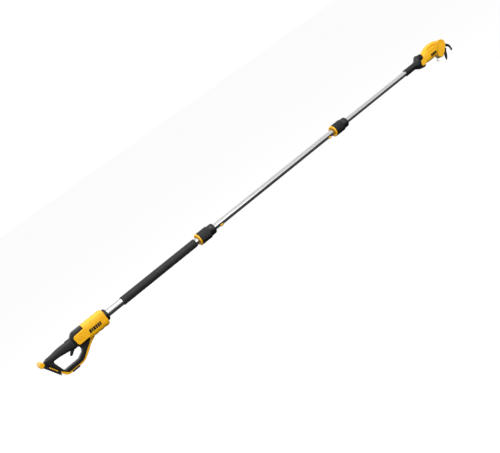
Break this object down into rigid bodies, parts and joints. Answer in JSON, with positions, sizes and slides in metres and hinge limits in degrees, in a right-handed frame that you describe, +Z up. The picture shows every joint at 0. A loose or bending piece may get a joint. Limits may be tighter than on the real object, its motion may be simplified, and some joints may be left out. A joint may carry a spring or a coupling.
{
  "type": "telescoping pole pruner",
  "caption": "Battery pole pruner: D-handle with trigger, telescoping aluminium pole with twist collars, tilting head with a bypass blade and hook.",
  "frame": {"origin": "on the pole's axis, at the middle of the rear grip", "axes": "+X along the pole from the handle towards the head, +Z up from the hand opening towards the top of the grip"},
  "size_m": [2.5737, 0.066, 0.1407],
  "materials": {
    "yellow_plastic": "fine moulded texture, slight sheen",
    "black_plastic": "fine moulded texture",
    "grip_rubber": "soft touch, matt",
    "foam": "closed-cell foam with fine ribs",
    "aluminium_tube": "satin anodised, drawn lengthwise",
    "blade_steel": "black low-friction coating, ground edge",
    "steel": "zinc plated",
    "chrome": "polished",
    "circuit_board": "solder mask",
    "brass": "bare"
  },
  "bodies": {
    "handle": {"handle_left": "black_plastic", "handle_right": "black_plastic", "housing_left": "yellow_plastic", "housing_right": "yellow_plastic", "grip_cover": "grip_rubber", "rim_strip": "yellow_plastic", "rest_pad": "grip_rubber", "battery_foot": "black_plastic", "foot_cap": "yellow_plastic", "rail_strips": "yellow_plastic", "terminal_block": "black_plastic", "battery_contacts": "brass", "switch_module": "black_plastic", "control_board": "circuit_board", "trigger_pin": "steel", "trigger_spring": "steel", "lock_spring": "steel", "handle_screws": "steel", "flange_ring": "black_plastic", "lower_tube": "aluminium_tube", "foam_grip": "foam", "collar_1_hub": "yellow_plastic", "collar_1_collet": "black_plastic", "cable_lower": "grip_rubber"},
    "trigger": {"trigger": "black_plastic"},
    "lock_off": {"lock_off_button": "black_plastic"},
    "collar_1": {"collar_1_sleeve": "black_plastic"},
    "middle_pole": {"middle_tube": "aluminium_tube", "middle_bush": "black_plastic", "button_1_spring": "steel", "collar_2_hub": "yellow_plastic", "collar_2_collet": "black_plastic", "cable_upper": "grip_rubber"},
    "button_1": {"snap_button_1": "yellow_plastic"},
    "collar_2": {"collar_2_sleeve": "black_plastic"},
    "upper_pole": {"upper_tube": "aluminium_tube", "upper_bush": "black_plastic", "button_2_spring": "steel", "head_clevis": "black_plastic", "tilt_bolt": "blade_steel", "tilt_nut": "blade_steel"},
    "button_2": {"snap_button_2": "yellow_plastic"},
    "head": {"head_shell_left": "yellow_plastic", "head_shell_right": "yellow_plastic", "head_motor": "steel", "gearbox": "blade_steel", "hook_blade": "blade_steel", "blade_bolt": "blade_steel", "blade_nut": "blade_steel", "head_screws": "steel", "hook_staple": "steel"},
    "cutting_blade": {"cutting_blade": "blade_steel"},
    "drive_pinion": {"drive_pinion": "steel"},
    "branch_hook": {"branch_hook": "chrome"}
  },
  "joints": [
    {"name": "trigger_pull", "type": "hinge", "parent": "handle", "child": "trigger", "pos_m": [0.062, 0, -0.019], "axis": [0, 1, 0], "range_deg": [0, 11], "stiffness_Nm_per_rad": 0.3, "springref_deg": -11.46, "deforming": ["trigger_spring"]},
    {"name": "lock_off_press", "type": "slide", "parent": "handle", "child": "lock_off", "axis": [0, 0, -1], "range_m": [0, 0.003], "stiffness_N_per_m": 400, "springref_m": -0.003, "deforming": ["lock_spring"]},
    {"name": "collar_1_twist", "type": "hinge", "parent": "handle", "child": "collar_1", "pos_m": [0.775, 0, 0], "axis": [1, 0, 0], "range_deg": [0, 120]},
    {"name": "middle_tube_slide", "type": "slide", "parent": "handle", "child": "middle_pole", "axis": [1, 0, 0], "range_m": [-0.53, 0], "deforming": ["cable_lower", "snap_button_1"]},
    {"name": "button_1_press", "type": "slide", "parent": "middle_pole", "child": "button_1", "axis": [0, 0.6428, 0.766], "range_m": [0, 0.0032], "stiffness_N_per_m": 800, "springref_m": -0.003, "deforming": ["button_1_spring"]},
    {"name": "collar_2_twist", "type": "hinge", "parent": "middle_pole", "child": "collar_2", "pos_m": [1.637, 0, 0], "axis": [1, 0, 0], "range_deg": [0, 120]},
    {"name": "upper_tube_slide", "type": "slide", "parent": "middle_pole", "child": "upper_pole", "axis": [1, 0, 0], "range_m": [-0.43, 0], "deforming": ["cable_upper", "snap_button_2"]},
    {"name": "button_2_press", "type": "slide", "parent": "upper_pole", "child": "button_2", "axis": [0, 0.6428, 0.766], "range_m": [0, 0.0032], "stiffness_N_per_m": 800, "springref_m": -0.003, "deforming": ["button_2_spring"]},
    {"name": "head_tilt", "type": "hinge", "parent": "upper_pole", "child": "head", "pos_m": [2.251, 0, 0.019], "axis": [0, -1, 0], "range_deg": [0, 45]},
    {"name": "blade_close", "type": "hinge", "parent": "head", "child": "cutting_blade", "pos_m": [2.429, 0, -0.0315], "axis": [0, -1, 0], "range_deg": [0, 72]},
    {"name": "pinion_spin", "type": "hinge", "parent": "head", "child": "drive_pinion", "pos_m": [2.40467, 0, -0.00775], "axis": [0, -1, 0], "range_deg": [-234, 0]},
    {"name": "branch_hook_swing", "type": "hinge", "parent": "head", "child": "branch_hook", "pos_m": [2.357, -0.009, -0.0384], "axis": [0, -1, 0], "range_deg": [-25, 20]}
  ],
  "couplings": [
    {"joint": "pinion_spin", "follows": "blade_close", "ratio": -3.25}
  ]
}
